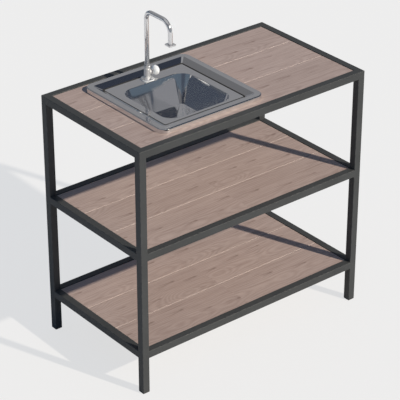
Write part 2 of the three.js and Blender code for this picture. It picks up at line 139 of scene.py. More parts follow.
class Nodes:
    """A node tree, with short calls for the nodes that finishes, floor and studio share."""

    def __init__(self, owner, empty=True):
        owner.use_nodes = True
        self.tree = owner.node_tree
        if empty:
            self.tree.nodes.clear()

    def add(self, kind, inputs=None, **settings):
        node = self.tree.nodes.new(kind)
        for name, value in settings.items():
            setattr(node, name, value)
        for name, value in (inputs or {}).items():
            self.feed(node.inputs[name], value)
        return node

    def feed(self, socket, value):
        if isinstance(value, bpy.types.NodeSocket):
            self.tree.links.new(value, socket)
        else:
            socket.default_value = value

    def math(self, operation, a, b=0.0):
        return self.add("ShaderNodeMath", {0: a, 1: b}, operation=operation).outputs[0]

    def plus(self, a, b):
        return self.math("ADD", a, b)

    def times(self, a, b):
        return self.math("MULTIPLY", a, b)

    def vector(self, operation, a, b):
        return self.add("ShaderNodeVectorMath", {0: a, 1: b}, operation=operation).outputs[0]

    def span(self, value, low, high, new_low=0.0, new_high=1.0, **settings):
        """The value's range from low to high, moved to new_low to new_high and clamped."""
        inputs = {"Value": value, "From Min": low, "From Max": high}
        inputs.update({"To Min": new_low, "To Max": new_high})
        return self.add("ShaderNodeMapRange", inputs, **settings).outputs["Result"]

    def mix(self, factor, a, b, blend="MIX"):
        """A mix of two colours. Sockets 0, 6 and 7 are a colour mix's factor and colours."""
        node = self.add("ShaderNodeMix", data_type="RGBA", blend_type=blend)
        self.feed(node.inputs[0], factor)
        self.feed(node.inputs[6], a)
        self.feed(node.inputs[7], b)
        return node.outputs[2]

    def choose(self, factor, first, second):
        """The first shader where the factor is 0, and the second where it is 1."""
        return self.add("ShaderNodeMixShader", {0: factor, 1: first, 2: second}).outputs[0]


class Look(Nodes):
    """A material with its shader, and the textures that the finishes are made from."""

    def __init__(self, name):
        self.material = bpy.data.materials.new(name)
        super().__init__(self.material, empty=False)
        self.shader = self.tree.nodes["Principled BSDF"]
        self.place = self.add("ShaderNodeTexCoord").outputs["Object"]

    def set(self, **values):
        """Feeds the shader's sockets; an underscore stands for a space in their names."""
        for name, value in values.items():
            self.feed(self.shader.inputs[name.replace("_", " ")], value)

    def scaled(self, x, y, z, vector=None):
        inputs = {"Vector": vector or self.place, "Scale": (x, y, z)}
        return self.add("ShaderNodeMapping", inputs).outputs["Vector"]

    def noise(self, vector, scale=1.0, detail=3.0, roughness=0.5, distortion=0.0):
        inputs = {"Vector": vector, "Scale": scale, "Detail": detail}
        inputs.update({"Roughness": roughness, "Distortion": distortion})
        return self.add("ShaderNodeTexNoise", inputs).outputs["Fac"]

    def bump(self, height, depth, normal=None):
        """Relief of the given depth in millimetres."""
        inputs = {"Height": height, "Distance": depth * MM, "Strength": 1.0}
        if normal:
            inputs["Normal"] = normal
        return self.add("ShaderNodeBump", inputs).outputs["Normal"]

    def attribute(self, name):
        return self.add("ShaderNodeAttribute", attribute_name=name).outputs["Fac"]

    def parts(self, vector):
        """The X, Y and Z of a vector."""
        return list(self.add("ShaderNodeSeparateXYZ", {"Vector": vector}).outputs)


def grey(value):
    return (value, value, value, 1)


def powder_coat():
    """Charcoal powder coat: fine orange peel, faint dust, thin coat along the edges."""
    look = Look("charcoal_powder_coat")
    cloud = look.noise(look.place, 9, 4)
    charcoal, dusty = (0.045, 0.0485, 0.051, 1), (0.055, 0.059, 0.062, 1)
    colour = look.mix(look.span(cloud, 0.3, 0.7), charcoal, dusty)
    rubbed = look.span(look.noise(look.place, 60, 5), 0.45, 0.7)
    worn = look.times(look.attribute("wear"), rubbed)
    colour = look.mix(look.times(worn, 0.5), colour, grey(0.16))
    peel = look.noise(look.place, 900, 2)
    grain = look.noise(look.place, 3500, 2)
    normal = look.bump(peel, 0.05)
    look.set(
        Base_Color=colour,
        Roughness=look.span(cloud, 0.3, 0.7, 0.42, 0.52),
        Normal=look.bump(grain, 0.012, normal),
        Specular_IOR_Level=0.22,
    )
    return look.material


# The planks' pattern, in metres as material coordinates are.
PLANK_WIDTH = 0.15
DECK_PITCH = 0.35           # from one deck to the next, so that each has its own timber
RING_PITCH = 0.0065
MARK_PITCH = 0.1            # one knot mark in about this length of plank
MARK_STRAY_ALONG = 0.025
MARK_STRAY_ACROSS = 0.035
KNOT_LENGTH = 0.012
KNOT_WIDTH = 0.0042
ARM_SLOPE = 0.13            # of the two arms of grain that trail from a knot
ARM_WIDTH = 0.004
ARM_LENGTH = 0.07


def plank_marks(look, plank, random):
    """Dark knots with a V of darker grain trailing to their left, along each plank."""
    x, y, _ = look.parts(look.place)
    _, row, deck = look.parts(plank)
    cells = look.plus(look.times(x, 1 / MARK_PITCH), look.times(random.outputs["Value"], 10.0))
    cell = look.math("FLOOR", cells)
    key = look.add("ShaderNodeCombineXYZ", {"X": cell, "Y": row, "Z": deck}).outputs[0]
    chance = look.add("ShaderNodeTexWhiteNoise", {"Vector": key}, noise_dimensions="3D")
    stray = look.add("ShaderNodeSeparateColor", {"Color": chance.outputs["Color"]}).outputs

    def strayed(place, share, reach):
        return look.math("SUBTRACT", place, look.span(share, 0.0, 1.0, -reach, reach))

    along = look.times(look.math("SUBTRACT", cells, look.plus(cell, 0.6)), MARK_PITCH)
    along = strayed(along, stray["Red"], MARK_STRAY_ALONG)
    across = look.math("FRACT", look.plus(look.times(y, 1 / PLANK_WIDTH), 0.5))
    across = look.times(look.math("SUBTRACT", across, 0.5), PLANK_WIDTH)
    across = strayed(across, stray["Green"], MARK_STRAY_ACROSS)
    ripple = look.noise(look.scaled(30.0, 120.0, 120.0), 1.0, 2)
    across = look.plus(across, look.span(ripple, 0.3, 0.7, -0.0022, 0.0022))
    across = look.math("ABSOLUTE", across)

    length_share = look.math("POWER", look.times(along, 1 / KNOT_LENGTH), 2.0)
    width_share = look.math("POWER", look.times(across, 1 / KNOT_WIDTH), 2.0)
    knot = look.span(look.plus(length_share, width_share), 0.15, 1.3, 1.0, 0.0)
    behind = look.times(along, -1.0)
    arm = look.math("SUBTRACT", across, look.times(behind, ARM_SLOPE))
    arm = look.span(look.math("ABSOLUTE", arm), 0.0, ARM_WIDTH, 1.0, 0.0)
    fading = look.span(behind, 0.0, ARM_LENGTH, 0.95, 0.0)
    started = look.span(behind, -0.002, 0.004)
    arms = look.times(look.times(arm, fading), started)
    present = look.span(stray["Blue"], 0.1, 0.5, 0.25, 1.0)
    return look.times(look.math("MAXIMUM", knot, arms), present)


def growth_rings(look, cut_place):
    """Rings about a pith line that wanders below the plank's surface."""
    wander = look.noise(look.scaled(3.0, 1.0, 1.0, cut_place), 1.0, 2)
    _, y, _ = look.parts(cut_place)
    across = look.math("PINGPONG", look.plus(y, 0.02), PLANK_WIDTH / 2)
    pith_depth = look.span(wander, 0.3, 0.7, 0.012, 0.06)
    squared = look.plus(look.math("POWER", across, 2.0), look.math("POWER", pith_depth, 2.0))
    unevenness = look.noise(look.scaled(9.0, 60.0, 60.0, cut_place), 1.0, 3)
    radius = look.plus(look.math("SQRT", squared), look.times(unevenness, 0.004))
    rings = look.math("SINE", look.times(radius, 2 * math.pi / RING_PITCH))
    return look.span(rings, -1.0, 1.0)


def plank_wood():
    """Taupe grey-brown oiled planks: every plank has its own cut of the same timber."""
    look = Look("taupe_planks")
    plank = look.vector("DIVIDE", look.place, (100.0, PLANK_WIDTH, DECK_PITCH))
    plank = look.vector("FLOOR", look.vector("ADD", plank, (0.0, 0.5, 0.1)), (0.0, 0.0, 0.0))
    random = look.add("ShaderNodeTexWhiteNoise", {"Vector": plank}, noise_dimensions="3D")
    shift = look.vector("MULTIPLY", random.outputs["Color"], (5.0, 0.06, 2.0))
    cut_place = look.vector("ADD", look.place, shift)

    def figure(along, across, *noise_settings):
        """Noise that is drawn out along the grain."""
        return look.noise(look.scaled(along, across, across, cut_place), 1.0, *noise_settings)

    rings = growth_rings(look, cut_place)
    fibre = figure(14.0, 420.0, 5, 0.65)
    bands = figure(2.5, 75.0, 3, 0.6, 0.5)
    pores = look.span(figure(40.0, 1300.0, 2), 0.6, 0.76)
    patches = figure(3.0, 14.0, 3)
    hairlines = look.span(figure(9.0, 190.0, 2, 0.5, 0.6), 0.58, 0.72)
    marks = plank_marks(look, plank, random)

    light, dark = (0.475, 0.38, 0.348, 1), (0.33, 0.25, 0.226, 1)
    tone = look.times(rings, 0.18)
    for layer, share in ((fibre, 0.6), (bands, 0.5), (patches, 0.22)):
        tone = look.plus(tone, look.times(layer, share))
    colour = look.mix(look.span(tone, 0.5, 1.0), dark, light)
    stains = [
        (pores, 0.4, (0.22, 0.16, 0.14, 1)),
        (hairlines, 0.42, (0.2, 0.14, 0.122, 1)),
        (marks, 0.62, (0.17, 0.115, 0.1, 1)),
    ]
    for layer, strength, stain in stains:
        colour = look.mix(look.times(layer, strength), colour, stain)
    tint = look.span(random.outputs["Value"], 0.0, 1.0, 0.96, 1.05)
    tint = look.add("ShaderNodeCombineColor", {"Red": tint, "Green": tint, "Blue": tint})
    colour = look.mix(1.0, colour, tint.outputs["Color"], "MULTIPLY")
    worn_edge = (0.56, 0.5, 0.48, 1)
    colour = look.mix(look.times(look.attribute("wear"), 0.5), colour, worn_edge)
    look.set(
        Base_Color=colour,
        Roughness=look.span(fibre, 0.3, 0.7, 0.52, 0.66),
        Normal=look.bump(pores, -0.15, look.bump(fibre, 0.12)),
        Specular_IOR_Level=0.3,
    )
    return look.material


def sink_steel():
    """Pressed stainless sheet, mirror polished, with hairline scratches and water marks."""
    look = Look("stainless_sheet")
    hairlines = look.noise(look.scaled(1400.0, 25.0, 60.0), 1.0, 2, 0.6)
    scratches = look.span(look.noise(look.scaled(25.0, 700.0, 200.0), 1.0, 4, 0.7, 0.6), 0.6, 0.8)
    marks = look.span(look.noise(look.place, 38, 5, 0.6, 0.4), 0.5, 0.75)
    clean, marked = (0.83, 0.835, 0.85, 1), (0.74, 0.745, 0.755, 1)
    colour = look.mix(look.times(marks, 0.25), clean, marked)
    rough = look.plus(look.span(hairlines, 0.3, 0.7, 0.06, 0.1), look.times(marks, 0.03))
    rough = look.plus(rough, look.times(scratches, 0.06))
    look.set(
        Base_Color=colour,
        Metallic=1.0,
        Roughness=rough,
        Normal=look.bump(hairlines, 0.0012, look.bump(scratches, -0.002)),
    )
    return look.material


def chrome(name, roughness, metallic):
    """Pale chrome with faint finger smudges and lime freckles."""
    look = Look(name)
    smudge = look.span(look.noise(look.place, 70, 5, 0.6, 0.8), 0.48, 0.7)
    freckle = look.span(look.noise(look.place, 700, 2), 0.66, 0.76)
    colour = look.mix(look.times(freckle, 0.5), (0.9, 0.91, 0.93, 1), (0.6, 0.6, 0.6, 1))
    rough = look.plus(look.times(smudge, 0.08), roughness)
    look.set(
        Base_Color=colour,
        Metallic=metallic,
        Roughness=look.plus(rough, look.times(freckle, 0.2)),
        Normal=look.bump(look.noise(look.place, 45, 2), 0.03),
    )
    return look.material


def white_plastic():
    """Glossy white moulding, a little rubbed where fingers turn it."""
    look = Look("white_knob_plastic")
    rubbed = look.span(look.noise(look.place, 110, 4, 0.6, 0.5), 0.45, 0.75)
    colour = look.mix(rubbed, (0.8, 0.83, 0.86, 1), (0.72, 0.74, 0.76, 1))
    look.set(
        Base_Color=colour,
        Roughness=look.span(rubbed, 0.0, 1.0, 0.16, 0.34),
        Normal=look.bump(look.noise(look.place, 500, 2), 0.01),
        Coat_Weight=0.3,
        Coat_Roughness=0.08,
    )
    return look.material


def moulded(name, colour, shade, roughness, grain):
    """Plain moulded plastic or rubber with a fine moulded grain."""
    look = Look(name)
    cloud = look.noise(look.place, 60, 4)
    look.set(
        Base_Color=look.mix(look.span(cloud, 0.3, 0.7), colour, shade),
        Roughness=look.span(cloud, 0.3, 0.7, roughness, roughness + 0.12),
        Normal=look.bump(look.noise(look.place, grain, 3), 0.03),
    )
    return look.material


def plated(name, colour, shade, roughness):
    """Plated or bare metal fixings, with mottled plating and turning marks."""
    look = Look(name)
    mottle = look.noise(look.place, 180, 5, 0.65, 0.5)
    turning = look.noise(look.scaled(40.0, 40.0, 2600.0), 1.0, 2)
    look.set(
        Base_Color=look.mix(look.span(mottle, 0.3, 0.7), colour, shade),
        Metallic=1.0,
        Roughness=look.span(mottle, 0.3, 0.7, roughness, roughness + 0.15),
        Normal=look.bump(turning, 0.015),
    )
    return look.material


FINISHES = {
    "frame": powder_coat(),
    "planks": plank_wood(),
    "sink_steel": sink_steel(),
    "faucet_chrome": chrome("pale_chrome", 0.05, 0.84),
    "satin_chrome": chrome("satin_chrome", 0.28, 0.7),      # of the tap's body
    "knob_plastic": white_plastic(),
    "foot_plastic": moulded("black_foot_plastic", grey(0.018), grey(0.03), 0.5, 900),
    "seal_rubber": moulded("black_rubber", grey(0.016), grey(0.028), 0.75, 1400),
    "waste_plastic": moulded(
        "pale_waste_plastic", (0.72, 0.72, 0.7, 1), (0.64, 0.64, 0.61, 1), 0.35, 500
    ),
    "zinc_steel": plated("zinc_plate", (0.62, 0.63, 0.64, 1), (0.45, 0.46, 0.46, 1), 0.3),
    "inlet_brass": plated("plain_brass", (0.72, 0.54, 0.26, 1), (0.55, 0.38, 0.17, 1), 0.25),
}

# ------------------------ shapes and meshes


def soften(outline, radius, steps=3, closed=False):
    """The outline with its corners rounded to the radius, or to what their sides allow.

    The radius may be a list with one value for each point.
    """
    soft = []
    count = len(outline)
    for i, point in enumerate(outline):
        reach_for = radius[i] if isinstance(radius, (list, tuple)) else radius
        if reach_for == 0 or (not closed and i in (0, count - 1)):
            soft.append(tuple(point))
            continue
        corner = Vector(point)
        before = Vector(outline[i - 1]) - corner
        after = Vector(outline[(i + 1) % count]) - corner
        half_angle = before.angle(after) / 2
        reach = reach_for / max(math.tan(half_angle), 1e-6)
        reach = min(reach, before.length * 0.49, after.length * 0.49)
        start = corner + before.normalized() * reach
        end = corner + after.normalized() * reach
        for step in range(steps + 1):
            t = step / steps
            soft.append(tuple(start.lerp(corner, t).lerp(corner.lerp(end, t), t)))
    return soft


def offset(outline, distance, closed=True):
    """The outline moved to its left by the distance, which is inwards if anticlockwise."""
    shifted = []
    count = len(outline)
    for i, point in enumerate(outline):
        before = outline[i - 1] if closed or i > 0 else point
        after = outline[(i + 1) % count] if closed or i < count - 1 else point
        incoming = Vector(point) - Vector(before)
        outgoing = Vector(after) - Vector(point)
        if incoming.length < 1e-9:
            incoming = outgoing
        if outgoing.length < 1e-9:
            outgoing = incoming
        first = Vector((-incoming.y, incoming.x)).normalized()
        second = Vector((-outgoing.y, outgoing.x)).normalized()
        step = (first + second) / (1 + first.dot(second)) * distance
        shifted.append((point[0] + step.x, point[1] + step.y))
    return shifted


def circle(radius, sides=48):
    angles = [2 * math.pi * i / sides for i in range(sides)]
    return [(radius * math.cos(a), radius * math.sin(a)) for a in angles]


def square(half):
    return [(half, half), (-half, half), (-half, -half), (half, -half)]


def rounded_rectangle(half_x, half_y, radius, corner_steps=8, side_steps=1):
    """A rounded rectangle about the origin, anticlockwise, starting at its right side."""
    signs = [(1, 1), (-1, 1), (-1, -1), (1, -1)]
    centres = [Vector((x * (half_x - radius), y * (half_y - radius))) for x, y in signs]
    points = []
    for quarter, centre in enumerate(centres):
        for step in range(corner_steps + 1):
            angle = (quarter + step / corner_steps) * math.pi / 2
            spoke = radius * Vector((math.cos(angle), math.sin(angle)))
            points.append(tuple(centre + spoke))
        next_centre = centres[(quarter + 1) % 4]
        for step in range(1, side_steps):
            points.append(tuple(centre.lerp(next_centre, step / side_steps) + spoke))
    return points


def skin(loops, closed=False, caps=True):
    """Vertices and faces of a skin through loops that all have the same point count.

    Closed joins the last loop to the first; caps close the two ends of an open skin.
    """
    count = len(loops[0])
    rows = len(loops)
    vertices = [point for loop in loops for point in loop]
    faces = []
    for row in range(rows if closed else rows - 1):
        here = row * count
        there = (row + 1) % rows * count
        for i in range(count):
            j = (i + 1) % count
            faces.append((here + i, here + j, there + j, there + i))
    if caps and not closed:
        faces.append(tuple(reversed(range(count))))
        faces.append(tuple(range((rows - 1) * count, rows * count)))
    return vertices, faces


def at_height(outline, z):
    return [(x, y, z) for x, y in outline]


def turned(outline, sides=48, closed=False):
    """A turned solid about Z from [radius, height] points, or a ring if it is closed."""
    loops = [at_height(circle(radius, sides), z) for radius, z in outline]
    return skin(loops, closed, caps=False)


def turned_ring(section, rounding, sides, place, steps=3):
    """A ring turned about the upright line through a place, its section's corners rounded."""
    return moved(turned(soften(section, rounding, steps, True), sides, True), place)


def drill(radius, bottom, top, sides):
    """A plain upright cylinder for cutting a round hole."""
    return turned([(0, bottom), (radius, bottom), (radius, top), (0, top)], sides)


def slab(outline, bottom, top, edge, steps=3):
    """An upright prism of an anticlockwise outline, with its two rims rounded over."""
    rims = []
    for step in range(steps + 1):
        angle = math.pi / 2 * step / steps
        rims.append((edge * (1 - math.sin(angle)), edge * (1 - math.cos(angle))))
    loops = [at_height(offset(outline, inset), bottom + rise) for inset, rise in rims]
    loops += [at_height(offset(outline, inset), top - rise) for inset, rise in reversed(rims)]
    return skin(loops)


def soft_block(low, high, edge):
    """A block between two corners with its edges rounded."""
    half = [(b - a) / 2 for a, b in zip(low, high)]
    outline = rounded_rectangle(half[0], half[1], edge * 1.2, 3)
    x, y, _ = middle_of(low, high)
    return moved(slab(outline, low[2], high[2], edge), (x, y, 0))


def moved(shape, by):
    """The shape, which is a pair of vertices and faces, moved."""
    vertices, faces = shape
    return [tuple(Vector(v) + Vector(by)) for v in vertices], faces


def turned_to(shape, along, by=(0, 0, 0)):
    """The shape with its Z axis laid along another direction, then moved."""
    vertices, faces = shape
    rotation = Vector((0, 0, 1)).rotation_difference(Vector(along))
    return [tuple(rotation @ Vector(v) + Vector(by)) for v in vertices], faces


def joined(*shapes):
    """Several shapes as one."""
    vertices = []
    faces = []
    for shape_vertices, shape_faces in shapes:
        first = len(vertices)
        vertices.extend(shape_vertices)
        faces.extend(tuple(first + i for i in face) for face in shape_faces)
    return vertices, faces


def make(name, shape, finish, smooth=35, wear=None):
    """A mesh object from a shape in millimetres. Its normals are made to point out."""
    vertices, faces = shape
    mesh = bpy.data.meshes.new(name)
    mesh.from_pydata([Vector(v) * MM for v in vertices], [], faces)
    if wear:
        mesh.attributes.new("wear", "FLOAT", "POINT").data.foreach_set("value", wear)
    work = bmesh.new()
    work.from_mesh(mesh)
    bmesh.ops.remove_doubles(work, verts=work.verts, dist=1e-6)
    bmesh.ops.dissolve_degenerate(work, edges=work.edges, dist=1e-7)
    bmesh.ops.recalc_face_normals(work, faces=work.faces)
    work.to_mesh(mesh)
    work.free()
    mesh.materials.append(FINISHES[finish])
    mesh.shade_smooth()
    mesh.set_sharp_from_angle(angle=math.radians(smooth))
    return put_in_scene(name, mesh)


def flatten_broad_faces(piece):
    """Lets broad faces set the normals along narrow roundings, so that they look flat."""
    weights = piece.modifiers.new("flat_faces", "WEIGHTED_NORMAL")
    weights.mode = "FACE_AREA"
    weights.keep_sharp = True
    weights.weight = 100


def stand_in(node, shape, finish, body="table", smooth=35, wear=None):
    """A detailed piece that is shown in place of the CAD node.
    """
    piece = make(f"{node}_detail", shape, finish, smooth, wear)
    flatten_broad_faces(piece)
    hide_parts(node)
    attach(piece, body)
    return piece


def extra(name, shape, finish, body="table", smooth=35):
    """A detailed piece that the CAD has no solid for, such as welds and screws."""
    piece = make(name, shape, finish, smooth)
    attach(piece, body)
    return piece


def cut(piece, shape):
    """Cuts the shape out of the piece."""
    cutter = make("cutter", shape, "frame")
    bpy.context.view_layer.update()
    modifier = piece.modifiers.new("cut", "BOOLEAN")
    modifier.operation = "DIFFERENCE"
    modifier.solver = "EXACT"
    modifier.object = cutter
    evaluated = piece.evaluated_get(bpy.context.evaluated_depsgraph_get())
    mesh = bpy.data.meshes.new_from_object(evaluated)
    piece.modifiers.clear()
    piece.data = mesh
    bpy.data.objects.remove(cutter)


def box_mm(node):
    """The node's lowest and highest corner in millimetres."""
    return [[round(value / MM, 3) for value in corner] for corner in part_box(node)]


def middle_of(low, high):
    return [(a + b) / 2 for a, b in zip(low, high)]


# ------------------------ steel frame


def tube_sections():
    """The tube's outer and inner section, with the outer corners marked for wear."""
    steps = 4                   # in one corner, and so one less than its marks
    outer = soften(square(HALF_TUBE), TUBE_ROUNDING, steps, True)
    inner = soften(square(HALF_TUBE - TUBE_WALL), 0.8, steps, True)
    corner_wear = [0, 0.7, 1, 0.7, 0]
    return outer, inner, corner_wear * 4


def plain_tube(start, along, side, length):
    """A tube with square-cut ends. Side is the direction of its section's first axis."""
    outer, inner, corner_wear = tube_sections()
    start, along, side = Vector(start), Vector(along), Vector(side)
    up = along.cross(side)
    loops = []
    for section, distance in ((outer, 0), (outer, length), (inner, length), (inner, 0)):
        loops.append([tuple(start + along * distance + side * v + up * w) for v, w in section])
    wear = corner_wear * 2 + [0.0] * (2 * len(inner))
    return skin(loops, closed=True), wear


def mitred_tube(start, along, outward, length):
    """A tube mitred at both ends, with the outside corner of each mitre ground round."""
    outer, inner, corner_wear = tube_sections()
    start, along, outward = Vector(start), Vector(along), Vector(outward)
    up = along.cross(outward)
    corner_steps = 4
    loops = []
    wear = []

    def add_loop(section, behind, setback, from_end, marks):
        loop = []
        for v, w in section:
            v = min(v, HALF_TUBE - setback)
            u = HALF_TUBE - v + behind
            if from_end:
                u = length - u
            loop.append(tuple(start + along * u + outward * v + up * w))
        loops.append(loop)
        wear.extend(marks)

    stations = []
    for step in range(corner_steps + 1):
        angle = math.pi / 4 * (1 - step / corner_steps)
        setback = TUBE_ROUNDING * (1 - math.cos(angle))
        stations.append((TUBE_ROUNDING * (1 - math.sin(angle)) - setback, setback))
    for behind, setback in stations:
        add_loop(outer, behind, setback, False, corner_wear)
    for behind, setback in reversed(stations):
        add_loop(outer, behind, setback, True, corner_wear)
    add_loop(inner, 0, 0, True, [0.0] * len(inner))
    add_loop(inner, 0, 0, False, [0.0] * len(inner))
    return skin(loops, closed=True), wear


def add_legs():
    for row in ("front", "rear"):
        for side in ("left", "right"):
            low, high = box_mm(f"leg_{row}_{side}")
            foot = (*middle_of(low, high)[:2], low[2])
            shape, wear = plain_tube(foot, (0, 0, 1), (1, 0, 0), high[2] - low[2])
            stand_in(f"leg_{row}_{side}", shape, "frame", wear=wear)
            add_foot(f"foot_{row}_{side}", foot)


def add_foot(node, foot):
    """A moulded plug: a rounded pad that shows under the leg, and a ribbed spigot."""
    low, high = box_mm(node)
    clearance = 0.4
    rib_height, rib_pitch, rib_thickness = 1, 6, 1.5
    first_rib = 5               # above the leg's end
    spigot_half = HALF_TUBE - TUBE_WALL - clearance
    core_half = spigot_half - rib_height
    pad = slab(rounded_rectangle(HALF_TUBE, HALF_TUBE, 2.2), 0, foot[2], 0.9)
    core = slab(rounded_rectangle(core_half, core_half, 1), foot[2] - 0.5, high[2], 0.5)
    shapes = [pad, core]
    for rib in range(3):
        z = foot[2] + first_rib + rib_pitch * rib
        outline = rounded_rectangle(spigot_half, spigot_half, 1)
        shapes.append(slab(outline, z, z + rib_thickness, 0.3))
    stand_in(node, moved(joined(*shapes), (foot[0], foot[1], 0)), "foot_plastic")


def add_worktop_rails():
    """Four rails mitred to a ring on top of the legs."""
    z = LEG_TOP + HALF_TUBE
    outer_x, outer_y = HALF_LENGTH, HALF_DEPTH
    rails = {
        "front": ((-outer_x, -outer_y + HALF_TUBE, z), (1, 0, 0), (0, -1, 0), 2 * outer_x),
        "right": ((outer_x - HALF_TUBE, -outer_y, z), (0, 1, 0), (1, 0, 0), 2 * outer_y),
        "rear": ((outer_x, outer_y - HALF_TUBE, z), (-1, 0, 0), (0, 1, 0), 2 * outer_x),
        "left": ((-outer_x + HALF_TUBE, outer_y, z), (0, -1, 0), (-1, 0, 0), 2 * outer_y),
    }
    for name, placement in rails.items():
        shape, wear = mitred_tube(*placement)
        stand_in(f"worktop_rail_{name}", shape, "frame", wear=wear)


def add_shelf_rails(level):
    """Four square-cut rails between the legs."""
    for name in ("front", "rear", "left", "right"):
        node = f"{level}_rail_{name}"
        low, high = box_mm(node)
        x, y, z = middle_of(low, high)
        if name in ("front", "rear"):
            start, along, side = (low[0], y, z), (1, 0, 0), (0, 1, 0)
            length = high[0] - low[0]
        else:
            start, along, side = (x, low[1], z), (0, 1, 0), (1, 0, 0)
            length = high[1] - low[1]
        shape, wear = plain_tube(start, along, side, length)
        stand_in(node, shape, "frame", wear=wear)


INNER_X = HALF_LENGTH - TUBE
INNER_Y = HALF_DEPTH - TUBE
CORNERS = [(-1, -1), (-1, 1), (1, -1), (1, 1)]
BEAD_RADIUS = 1.7
BEAD_MARGIN = 2.5           # from a bead's ends to the edges of the joint
FILL_SKIM = 0.03            # how far a ground fill stays under the tube's own face


def weld_bead(start, end):
    """A rippled bead along an inside corner, its middle line on the corner itself."""
    start, end = Vector(start), Vector(end)
    length = (end - start).length
    step_length = 0.7
    ripple_pitch = 2.3
    ripple_height = 0.1
    end_radius_share = 0.25
    taper_length = 1.6
    sides = 10
    steps = int(length / step_length)
    loops = []
    for step in range(steps + 1):
        along = step / steps * length
        taper = min(1, end_radius_share + min(along, length - along) / taper_length)
        ripple = 1 + ripple_height * math.sin(2 * math.pi * along / ripple_pitch)
        loops.append(at_height(circle(BEAD_RADIUS * taper * ripple, sides), along))
    return turned_to(skin(loops), end - start, start)


def corner_beads(side_x, side_y, z):
    """Two beads where the rails' faces at this height meet a leg's inner faces."""
    x, y = side_x * INNER_X, side_y * INNER_Y
    gap_x, gap_y = side_x * BEAD_MARGIN, side_y * BEAD_MARGIN
    far_x, far_y = side_x * HALF_LENGTH - gap_x, side_y * HALF_DEPTH - gap_y
    along_y = weld_bead((x, y + gap_y, z), (x, far_y, z))
    along_x = weld_bead((x + gap_x, y, z), (far_x, y, z))
    return [along_y, along_x]


def ground_fills(side_x, side_y, joint, across, tall):
    """Weld metal ground flush over the joints on a leg's two outer faces."""
    depth = 1.4
    face = (side_x * (HALF_LENGTH - depth - FILL_SKIM), side_y * (HALF_DEPTH - depth - FILL_SKIM))
    blocks = []
    for centre, half in (
        ((side_x * joint[0], face[1], joint[2]), (across, depth, tall)),
        ((face[0], side_y * joint[1], joint[2]), (depth, across, tall)),
    ):
        low = [c - h for c, h in zip(centre, half)]
        high = [c + h for c, h in zip(centre, half)]
        blocks.append(soft_block(low, high, 0.3))
    return blocks


def add_shelf_welds(level):
    """Beads where rails meet legs, above and below, and flush fills on the outer faces."""
    top = SHELF_TOPS[level]
    joint = (INNER_X + 1, INNER_Y + 1, top - HALF_TUBE)
    shapes = []
    for side_x, side_y in CORNERS:
        for z in (top, top - TUBE):
            shapes += corner_beads(side_x, side_y, z)
        shapes += ground_fills(side_x, side_y, joint, 1.5, HALF_TUBE - 1)
    extra(f"{level}_welds", joined(*shapes), "frame")


def add_worktop_welds():
    """Beads round the inner sides of the leg tops, and flush fills outside."""
    joint = (HALF_LENGTH - HALF_TUBE, HALF_DEPTH - HALF_TUBE, LEG_TOP + 1)
    shapes = []
    for side_x, side_y in CORNERS:
        shapes += corner_beads(side_x, side_y, LEG_TOP)
        shapes += ground_fills(side_x, side_y, joint, HALF_TUBE - 2, 1.5)
    extra("worktop_welds", joined(*shapes), "frame")


# ------------------------ decks


def add_plank(node, outline=None):
    """A plank with rounded edges, a plain rectangle unless it has an outline of its own."""
    low, high = box_mm(node)
    if outline is None:
        outline = [(low[0], low[1]), (high[0], low[1]), (high[0], high[1]), (low[0], high[1])]
        outline = soften(outline, PLANK_ROUNDING, 3, True)
    steps = 3
    shape = slab(outline, low[2], high[2], PLANK_CHAMFER, steps)
    rubbed = [0.0] + [1.0] * (2 * steps) + [0.0]
    wear = [value for value in rubbed for _ in outline]
    stand_in(node, shape, "planks", wear=wear)


def notched_outline(node):
    """A worktop plank's outline with the sink cut-out taken from its inner long side."""
    low, high = box_mm(node)
    at_front = high[1] < 0
    left, right = SINK_X - CUTOUT_HALF, SINK_X + CUTOUT_HALF
    near, far = (low[1], high[1]) if at_front else (-high[1], -low[1])
    outline = [
        (low[0], near),
        (high[0], near),
        (high[0], far),
        (right, far),
        (right, -CUTOUT_HALF),
        (left, -CUTOUT_HALF),
        (left, far),
        (low[0], far),
    ]
    radii = [PLANK_ROUNDING] * 4 + [CUTOUT_CORNER] * 2 + [PLANK_ROUNDING] * 2
    outline = soften(outline, radii, 6, True)
    if not at_front:
        outline = [(x, -y) for x, y in reversed(outline)]
    return outline


def add_planks():
    for level in SHELF_TOPS:
        for row in ("front", "middle", "rear"):
            add_plank(f"{level}_plank_{row}")
    for row in ("middle_left", "middle_right"):
        add_plank(f"worktop_plank_{row}")
    for row in ("front", "rear"):
        node = f"worktop_plank_{row}"
        add_plank(node, notched_outline(node))


def screw_head():
    """A pan head with a round recess, pointing along +Z from z = 0."""
    recess = [(0, 0.8), (1.5, 0.8), (1.7, 2.0)]
    head = [(2.6, 2.0), (3.6, 1.2), (4.0, 0.3), (4.0, -0.4), (0, -0.4)]
    return turned(soften(recess + head, 0.3, 2), 20)


def add_bearers():
    """Flat bars with two screws up into every plank that they cross."""
    screws = []
    head = turned_to(screw_head(), (0, 0, -1))
    end_gap = 0.2
    plank_pitch = 150
    screw_reach = 45
    for level, count in (("worktop", 4), ("middle", 3), ("lower", 3)):
        for number in range(1, count + 1):
            node = f"{level}_bearer_{number}"
            low, high = box_mm(node)
            low[1] += end_gap
            high[1] -= end_gap
            stand_in(node, soft_block(low, high, 0.7), "frame")
            x = middle_of(low, high)[0]
            for plank in (-1, 0, 1):
                for side in (-1, 1):
                    y = plank * plank_pitch + side * screw_reach
                    screws.append(moved(head, (x, y, low[2])))
    extra("bearer_screws", joined(*screws), "zinc_steel")


# ------------------------ sink

SINK_CORNER_STEPS = 10
SINK_SIDE_STEPS = 10


